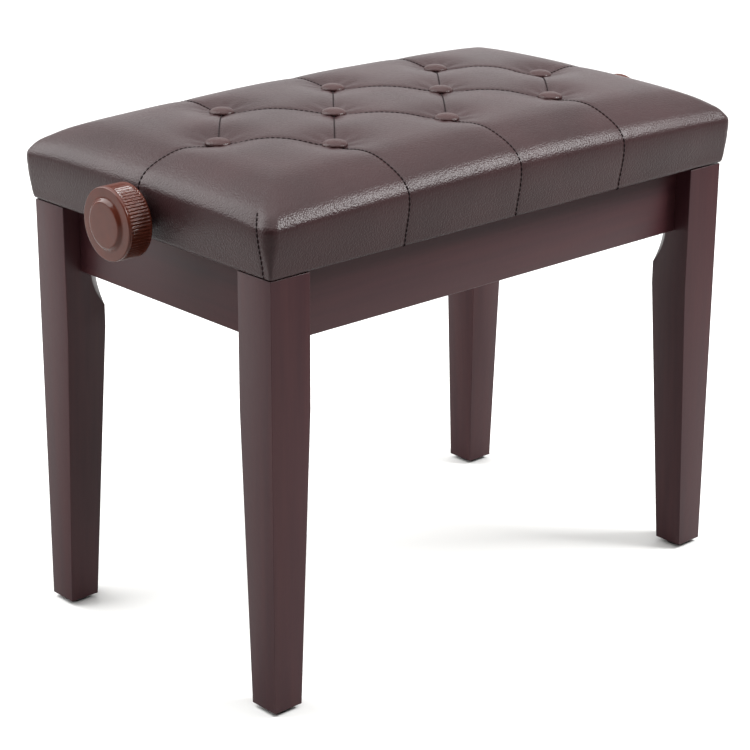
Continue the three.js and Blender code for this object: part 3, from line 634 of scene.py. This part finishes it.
def draped(a, b):
    """Where each point (a, b) of the flat sheet lies before it is quilted. Inside the top
    it keeps its place. Outside, k is how far past the top's edge it is: it lies on ring k
    of the side's section, and points past the top's corner share out the ring's straight
    end and the round corner between them."""
    past_x, past_y = np.abs(a) - TOP_X, np.abs(b) - TOP_Y
    k = np.clip(np.maximum(past_x, past_y), 0, None)
    out = np.interp(k, section_length, section_out) - section_out[0]
    height = np.interp(k, section_length, section_height)
    radius = CORNER_SHARE * out * np.clip(height / SHARP_BELOW, 0.2, 1)
    lesser = np.minimum(past_x, past_y)
    share = np.clip(lesser / np.maximum(k, 1e-9), 0, 1)
    run = share * ((out - radius) + radius * math.pi / 4)
    turn = np.clip((run - (out - radius)) / np.maximum(radius, 1e-9), 0, math.pi / 4)
    along = np.where(run < out - radius, run, out - radius + radius * np.sin(turn))
    across = np.where(run < out - radius, out, out - radius + radius * np.cos(turn))
    inside = lesser <= 0
    x_first = past_x >= past_y
    x_out = np.where(x_first, np.where(inside, out, across), along)
    y_out = np.where(x_first, along, np.where(inside, out, across))
    x = np.where(past_x > 0, np.sign(a) * (TOP_X + x_out), a)
    y = np.where(past_y > 0, np.sign(b) * (TOP_Y + y_out), b)
    edge_x, edge_y = LEG_X + OVERHANG, LEG_Y + OVERHANG
    crown = ((1 - np.clip(np.abs(x) / edge_x, 0, 1) ** CROWN_POWER)
             * (1 - np.clip(np.abs(y) / edge_y, 0, 1) ** CROWN_POWER))
    fade = np.cos(np.clip(k / ROLLED, 0, 1) * math.pi / 2) ** 2
    u = np.clip(np.abs(x) / (LEG_X - SHOULDER), 0, 1)
    v = np.clip(np.abs(y) / (LEG_Y - SHOULDER), 0, 1)
    droop = END_DROOP * u ** 4 + CORNER_DROOP * (u * v) ** 1.5 + TIP_DROOP * u ** 1.5 * v ** 8
    droop += SAG * np.clip(x / LEG_X, 0, 1) ** 2 * np.clip(y / LEG_Y, 0, 1) ** 3
    z = cover_bottom + height + CROWN * crown * fade - droop * np.clip(height / DROOP_FROM, 0, 1) ** 2
    return np.stack([x, y, z], -1)


def outward(points):
    """Unit normals of a grid of points, from the cross product of its two directions."""
    normal = np.cross(np.gradient(points, axis=1), np.gradient(points, axis=0))
    normal /= np.linalg.norm(normal, axis=-1, keepdims=True) + 1e-12
    return normal * np.sign(normal[points.shape[0] // 2, points.shape[1] // 2, 2])


def quilted(a, b):
    """The draped sheet, pushed in along the seams and down at the buttons. A seam is a
    narrow groove in a wide soft valley, deep on the top and shallow down the sides. A
    dimple is flat under its button and rises beyond the button's rim as one less
    exp(-(distance / radius) ** 1.7), with small puckers round it."""
    points = draped(a, b)
    past = np.clip(np.maximum(np.abs(a) - TOP_X, np.abs(b) - TOP_Y), 0, None)
    on_top = np.exp(-(past / (0.6 * ROLLED)) ** 2)
    gap = distance_to(seams, a, b)
    depth = SEAM_GROOVE * (0.3 + 0.7 * on_top) * np.exp(-(gap / SEAM_GROOVE_WIDTH) ** 2)
    soft_gap = np.sqrt(gap ** 2 + SEAM_GROOVE_WIDTH ** 2) - SEAM_GROOVE_WIDTH
    depth += SEAM_VALLEY * (0.15 + 0.85 * on_top) * np.exp(-soft_gap / SEAM_VALLEY_WIDTH)
    ripple = (np.sin(37 * a + 11 * b) + np.sin(23 * b - 29 * a + 1.3) + np.sin(61 * a * (1 + b) + 2.1)) / 3
    depth += RIPPLE * ripple
    points = points - depth[..., None] * outward(points)
    for number, spot in enumerate(buttons.values()):
        r = np.hypot(a - spot[0], b - spot[1])
        nearest = np.unravel_index(np.argmin(r), r.shape)
        fall = points[nearest][2] - spot[2]
        angle = np.arctan2(b - spot[1], a - spot[0])
        pucker = PUCKER * np.cos(PUCKERS * angle + number)
        pucker *= np.exp(-((r - PUCKER_RADIUS) / PUCKER_WIDTH) ** 2)
        beyond = np.clip(r - DIMPLE_FLOOR, 0, None)
        points[..., 2] -= fall * np.exp(-(beyond / DIMPLE_RADIUS) ** 1.7) + pucker
    return points


sheet_a, sheet_b = np.meshgrid(sheet_axis(TOP_X), sheet_axis(TOP_Y))
cover_points = quilted(sheet_a, sheet_b)
cover_normals = outward(cover_points)


def coated_leather(name, dark, light):
    """Coated leather cloth: a pressed pebble grain 1.6 mm across under a finer one, in a
    colour that drifts slowly, with a satin topcoat that is glossiest in each pebble's middle."""
    material, tree, shader, place = start_material(name)
    pebble = add(tree, "TexVoronoi", {"feature": "F1"}, {"Vector": place, "Scale": 1 / (1.6 * MM)})
    fine = add(tree, "TexNoise", inputs={
        "Vector": place, "Scale": 1 / (0.9 * MM), "Detail": 2.0, "Roughness": 0.6})
    cloud = add(tree, "TexNoise", inputs={"Vector": place, "Scale": 1 / (60 * MM), "Detail": 3.0})
    tree.links.new(ramp(tree, cloud.outputs["Fac"], [
        (0.3, linear(dark)), (0.7, linear(light))]), shader.inputs["Base Color"])
    tree.links.new(ramp(tree, pebble.outputs["Distance"], [
        (0.0, grey(0.26)), (0.8, grey(0.36))]), shader.inputs["Roughness"])
    first = add(tree, "Bump", {"invert": True}, {
        "Height": pebble.outputs["Distance"], "Strength": 0.65, "Distance": 0.35 * MM})
    second = add(tree, "Bump", inputs={
        "Height": fine.outputs["Fac"], "Strength": 0.35, "Distance": 0.3 * MM,
        "Normal": first.outputs["Normal"]})
    tree.links.new(second.outputs["Normal"], shader.inputs["Normal"])
    shader.inputs["Specular IOR Level"].default_value = 0.125
    return material


leather = coated_leather("brown_coated_leather", "241617", "2b1b1c")
cover = new_piece("seat_cover_quilted", face_outwards(grid_mesh("seat_cover_quilted", cover_points)))
finish_piece(cover, leather, "seat",
             ["seat_cushion"] + [f"side_cover_{side}" for side in ("front", "back", "left", "right")])

# ------------------------------------------------------------------ seam stitching
# One row of dark polyester lockstitch runs along every seam, sunk in its groove. Each
# stitch is 3.4 mm long with its ends pulled down into the cloth. Under the stitches a thin
# unbroken tube of the same dark thread lies along each seam. Between the stitches it is
# painted shade in the seam's gap.

STITCH_LENGTH = 3.4 * MM
STITCH_SPACE = 4.6 * MM
THREAD_RADIUS = 0.5 * MM
# the unbroken dark tube along each seam: painted shade for the seam's gap
SEAM_SHADE_TUBE_RADIUS = 0.3 * MM
SEAM_SHADE_TUBE_STEP = 2.0 * MM
WIRE_STEPS = 7  # points along one stitch or one staple


def on_cover(a, b, field):
    """A field of the cover's grid at places (a, b), from the four grid points round each."""
    row = (b - sheet_b[0, 0]) / (sheet_b[1, 0] - sheet_b[0, 0])
    column = (a - sheet_a[0, 0]) / (sheet_a[0, 1] - sheet_a[0, 0])
    row = np.clip(row, 0, field.shape[0] - 1.001)
    column = np.clip(column, 0, field.shape[1] - 1.001)
    i, j = row.astype(int), column.astype(int)
    u, v = (row - i)[:, None], (column - j)[:, None]
    return ((1 - u) * (1 - v) * field[i, j] + (1 - u) * v * field[i, j + 1]
            + u * (1 - v) * field[i + 1, j] + u * v * field[i + 1, j + 1])


def seam_path(start, end, spacing):
    """Points along a seam on the cover at an even spacing, with the cover's normals."""
    share = np.linspace(0, 1, 600)
    a, b = start[0] + share * (end - start)[0], start[1] + share * (end - start)[1]
    line = on_cover(a, b, cover_points)
    length = np.concatenate([[0], np.cumsum(np.linalg.norm(np.diff(line, axis=0), axis=1))])
    even = np.interp(np.arange(0.5 * spacing, length[-1] - 0.5 * spacing, spacing), length, share)
    a, b = start[0] + even * (end - start)[0], start[1] + even * (end - start)[1]
    return on_cover(a, b, cover_points), on_cover(a, b, cover_normals)


def tube_mesh(name, path, normal, radius, sides=6):
    """A round tube along a path: point = path + radius * (cos(t) * normal + sin(t) * side)."""
    along = np.gradient(path, axis=0)
    along /= np.linalg.norm(along, axis=1, keepdims=True)
    side = np.cross(along, normal)
    side /= np.linalg.norm(side, axis=1, keepdims=True)
    angle = np.linspace(0, 2 * math.pi, sides, endpoint=False)
    ring = (np.cos(angle)[None, :, None] * normal[:, None] + np.sin(angle)[None, :, None] * side[:, None])
    return face_outwards(grid_mesh(name, path[:, None] + radius * ring, True, True, True))


def spun_thread(name, colour):
    """Dark bonded thread: matt, with a fine slanting ply."""
    material, tree, shader, place = start_material(name)
    ply = add(tree, "TexWave", {"bands_direction": "DIAGONAL"}, {
        "Vector": place, "Scale": 1 / (3 * MM), "Distortion": 1.0})
    dark, light = (np.array(linear(colour)) * share for share in (0.6, 1.3))
    tree.links.new(ramp(tree, ply.outputs["Fac"], [(0.2, dark), (0.8, light)]), shader.inputs["Base Color"])
    shader.inputs["Roughness"].default_value = 0.75
    shader.inputs["Specular IOR Level"].default_value = 0.1
    return material


def joined(name, meshes):
    """Several meshes as one piece."""
    shape = bmesh.new()
    for mesh in meshes:
        shape.from_mesh(mesh)
        bpy.data.meshes.remove(mesh)
    whole = bpy.data.meshes.new(name)
    shape.to_mesh(whole)
    shape.free()
    whole.shade_smooth()
    return new_piece(name, whole)


thread = spun_thread("dark_brown_thread", "140c0d")
seam_shade_tubes, stitches = [], []
for start, end in seams:
    # An unbroken dark tube along the seam: thread under the stitches, and painted shade in the seam's gap
    # between them.
    line, normal = seam_path(start, end, SEAM_SHADE_TUBE_STEP)
    seam_shade_tubes.append(tube_mesh("seam_shade_tube", line - 0.1 * MM * normal, normal, SEAM_SHADE_TUBE_RADIUS))
    line, normal = seam_path(start, end, STITCH_SPACE)
    direction = np.gradient(line, axis=0)
    direction /= np.linalg.norm(direction, axis=1, keepdims=True)
    for centre, up, forward in zip(line, normal, direction):
        share = np.linspace(-1, 1, WIRE_STEPS)[:, None]
        arch = centre + 0.5 * STITCH_LENGTH * share * forward + (0.40 - 0.55 * share ** 4) * MM * up
        stitches.append(tube_mesh("stitch", arch, np.repeat(up[None], WIRE_STEPS, 0), THREAD_RADIUS))
# seam_lines is the joined tubes of painted seam shade, in the thread's material.
seam_shade_tube = joined("seam_lines", seam_shade_tubes)
stitching = joined("seam_stitches", stitches)
for piece in (seam_shade_tube, stitching):
    piece.data.materials.append(thread)
    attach(piece, "seat")

# ------------------------------------------------------------------ covered buttons
# Upholstery buttons: a pressed metal shell covered in the seat's own leather cloth, tied
# down through the foam to the board. Each has a low dome over a tucked-in rim. Their cloth
# is given a lighter brown than the cover's: a painted highlight for the light their domes catch.

BUTTON_RIM = 1.4 * MM
BUTTON_TUCK = 1.0 * MM  # how far the rim turns in below the button's foot

# Lighter browns than the cover's leather: painted highlight standing in for the light on the buttons' domes.
painted_light_button_leather = coated_leather("brown_button_leather_painted_light", "2b1a1a", "321f1f")

for node, spot in buttons.items():
    low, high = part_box(node)
    radius, height = (high.x - low.x) / 2, high.z - low.z
    turn = np.linspace(0, math.pi / 2, 12)[:-1]
    dome = [(radius * math.cos(t), BUTTON_RIM + (height - BUTTON_RIM) * math.sin(t)) for t in turn]
    profile = [(0.02 * radius, -BUTTON_TUCK), (0.8 * radius, -BUTTON_TUCK), (0.95 * radius, -0.2 * MM)]
    profile += dome + [(0.02 * radius, height)]
    button = turned(node + "_covered", rounded(profile, 0.8 * MM, 3), spot, (0, 0, 1), 48)
    finish_piece(button, painted_light_button_leather, "seat", [node])

# ------------------------------------------------------------------ bushes
# Black acetal bushes pressed through the seat's end rails. Their flanges show between the
# cover and the knobs, and the screw's journals turn in them.

acetal = moulded_plastic("black_acetal", "161617", 0.4, 0.8 * MM, 0.2)
for end in ("left", "right"):
    eased_copy(f"bush_{end}", 0.4 * MM, acetal, "seat", 50)

# ------------------------------------------------------------------ knobs
# Glossy red-brown moulded plastic. The rim carries fine ribs for grip between two plain
# lips. The face is a flat ring round a raised boss with a sloped side.

KNOB_BROWN = "411d14"
RIBS = 68
RIB_DEPTH = 1.1 * MM
KNOB_SIDES = RIBS * 8
KNOB_THICKNESS = 24.2 * MM  # of the ribbed disc, without its hub and boss
KNOB_HUB = 11 * MM
PLAIN_LIP = 2.4 * MM
RIM_ROWS = 14
BOSS_RADIUS = 21.8 * MM
BOSS_SLOPE = 2.4 * MM
BOSS_HEIGHT = 3.0 * MM

knob_plastic = moulded_plastic("red_brown_moulded_plastic", KNOB_BROWN, 0.18, 1.0 * MM, 0.05)
knob_plastic.node_tree.nodes["Principled BSDF"].inputs["Specular IOR Level"].default_value = 0.18


def knob_points(sign):
    """The knob's section spun round the screw axis. On the ribbed part of the rim the
    radius is less by a rounded wave with one crest to each rib."""
    low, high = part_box("knob_left" if sign < 0 else "knob_right")
    radius = (high.z - low.z) / 2
    start, face = (low.x, high.x) if sign > 0 else (high.x, low.x)
    length = abs(face - start) - BOSS_HEIGHT
    back = length - KNOB_THICKNESS
    behind = rounded([
        (journal_radius + 0.3 * MM, 0.0), (KNOB_HUB, 0.0), (KNOB_HUB, back),
        (radius - 4 * MM, back - 0.1 * MM), (radius - 1.2 * MM, back),
        (radius - 0.3 * MM, back + 0.9 * MM), (radius - 0.3 * MM, back + 1.2 * MM)], 0.6 * MM)
    ribbed = np.stack([np.full(RIM_ROWS, radius),
                       np.linspace(back + 1.3 * MM, length - PLAIN_LIP, RIM_ROWS)], -1)
    face_section = rounded([
        (radius - 0.2 * MM, length - PLAIN_LIP + 0.1 * MM), (radius - 0.1 * MM, length - 0.9 * MM),
        (radius - 0.7 * MM, length), (BOSS_RADIUS + 1.2 * MM, length),
        (BOSS_RADIUS - 0.1 * MM, length + 0.3 * MM), (BOSS_RADIUS - BOSS_SLOPE, length + BOSS_HEIGHT),
        (0.5 * BOSS_RADIUS, length + BOSS_HEIGHT), (0.02 * radius, length + BOSS_HEIGHT)], 1.1 * MM, 7)
    profile = np.concatenate([behind, ribbed, face_section])
    angle = np.linspace(0, 2 * math.pi, KNOB_SIDES, endpoint=False)
    on_ribs = np.zeros(len(profile))
    on_ribs[len(behind) + 1:len(behind) + len(ribbed) - 1] = 1
    wave = RIB_DEPTH * (0.5 - 0.5 * np.cos(RIBS * angle)) ** 0.8
    spread = profile[:, 0:1] - on_ribs[:, None] * wave[None]
    along = (start + sign * profile[:, 1])[:, None] + 0 * angle[None]
    centre_z = (low.z + high.z) / 2
    return np.stack([along, spread * np.cos(angle), centre_z + spread * np.sin(angle)], -1)


for end, sign in (("left", -1), ("right", 1)):
    name = f"knob_{end}_moulded"
    knob = new_piece(name, face_outwards(grid_mesh(name, knob_points(sign), True, True, True)))
    finish_piece(knob, knob_plastic, "screw", [f"knob_{end}"])

# ------------------------------------------------------------------ staples under the seat
# A row of crown staples holds the cover's turned-in edge to the frame's rails.

STAPLE_SPACE = 34 * MM
STAPLE_WIDTH = 10 * MM
STAPLE_WIRE = 0.55 * MM
STAPLE_INSET = 9 * MM  # in from the legs' outer faces
STAPLE_CLEAR = 30 * MM  # free of staples at each corner

staple_meshes = []
staple_z = cover_bottom - STAPLE_WIRE
for along_x in (True, False):
    half = (LEG_X if along_x else LEG_Y) - STAPLE_CLEAR
    across = (LEG_Y if along_x else LEG_X) - STAPLE_INSET
    for place_along in np.linspace(-half, half, int(2 * half / STAPLE_SPACE)):
        for sign in (-1, 1):
            ends = np.linspace(-0.5, 0.5, WIRE_STEPS) * STAPLE_WIDTH
            drop = 0.3 * MM * np.abs(np.linspace(-1, 1, WIRE_STEPS)) ** 6
            sideways = np.full(WIRE_STEPS, sign * across)
            line = np.stack([place_along + ends, sideways, staple_z + drop], -1)
            if not along_x:
                line = line[:, [1, 0, 2]]
            upward = np.tile([0.0, 0.0, 1.0], (WIRE_STEPS, 1))
            staple_meshes.append(tube_mesh("staple", line, upward, STAPLE_WIRE))
staples = joined("cover_staples", staple_meshes)
staples.data.materials.append(zinc)
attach(staples, "seat")

# ------------------------------------------------------------------ floor, light and camera
# A plain pale floor under a wide overhead bank, with a softbox at the back left and one at
# the front right. The wall behind the bench is bright, and the room in front is dark.

FLOOR_HALF = 40.0  # metres from the bench to the floor's edge, which stays out of sight

floor_mesh = bpy.data.meshes.new("floor")
floor_mesh.from_pydata([(x * FLOOR_HALF, y * FLOOR_HALF, 0) for x, y in
                        ((-1, -1), (1, -1), (1, 1), (-1, 1))], [], [(0, 1, 2, 3)])
floor = new_piece("floor", floor_mesh)
floor_material, _, floor_shader, _ = start_material("pale_floor")
floor_shader.inputs["Base Color"].default_value = linear("b8b8b7")
floor_shader.inputs["Roughness"].default_value = 0.9
floor_shader.inputs["Specular IOR Level"].default_value = 0.0
floor.data.materials.append(floor_material)

STUDIO_BRIGHT = 1.25  # how bright the wall and the rest of the room look
STUDIO_DARK = 0.07
BRIGHT_SIDE = (0.62, 0.75, 0.2)  # the wall behind the bench and to its left

world = bpy.data.worlds.new("studio")
bpy.context.scene.world = world
world.use_nodes = True
studio = world.node_tree
direction = add(studio, "TexCoord").outputs["Generated"]
facing = add(studio, "VectorMath", {"operation": "DOT_PRODUCT"}, {0: direction, 1: BRIGHT_SIDE})
walls = ramp(studio, add(studio, "MapRange", inputs={
    "Value": facing.outputs["Value"], "From Min": 0.0, "From Max": 0.8}).outputs["Result"],
    [(0.0, grey(STUDIO_DARK)), (1.0, grey(STUDIO_BRIGHT))])
studio.links.new(walls, studio.nodes["Background"].inputs["Color"])


def soft_light(name, place, target, size, power):
    """A square soft light at a place, facing a target."""
    light = bpy.data.lights.new(name, "AREA")
    light.shape = "SQUARE"
    light.size = size
    light.energy = power
    lamp = new_piece(name, light)
    lamp.location = place
    aim = Vector(target) - Vector(place)
    lamp.rotation_euler = aim.to_track_quat("-Z", "Y").to_euler()


soft_light("left softbox", (-1.20, 1.45, 1.75), (0, 0, 0.4), 2.2, 120)
soft_light("right softbox", (1.33, -1.28, 1.75), (0, 0, 0.4), 0.75, 105)

sun_data = bpy.data.lights.new("overhead bank", "SUN")
sun_data.energy = 4.6
sun_data.angle = math.radians(70)
new_piece("overhead bank", sun_data)

LENS = 112.4
CAMERA_PLACE = (-1.39053, -1.49994, 0.948)
HEADING, TILT, ROLL = 47.463, 20.174, 0.319
camera_data = bpy.data.cameras.new("camera")
camera = new_piece("camera", camera_data)
camera_data.sensor_width = 36
camera_data.lens = LENS
camera_data.clip_end = 100
camera.location = CAMERA_PLACE
heading, tilt, lean = (math.radians(v) for v in (HEADING, TILT, ROLL))
forward = np.array([math.cos(tilt) * math.cos(heading), math.cos(tilt) * math.sin(heading), -math.sin(tilt)])
level = np.array([math.sin(heading), -math.cos(heading), 0.0])
upright = np.cross(level, forward)
right = math.cos(lean) * level + math.sin(lean) * upright
above = -math.sin(lean) * level + math.cos(lean) * upright
turn = np.eye(4)
turn[:3, 0], turn[:3, 1], turn[:3, 2], turn[:3, 3] = right, above, -forward, CAMERA_PLACE
camera.matrix_world = Matrix(turn.tolist())
bpy.context.scene.camera = camera
bpy.context.scene.view_settings.view_transform = "Standard"
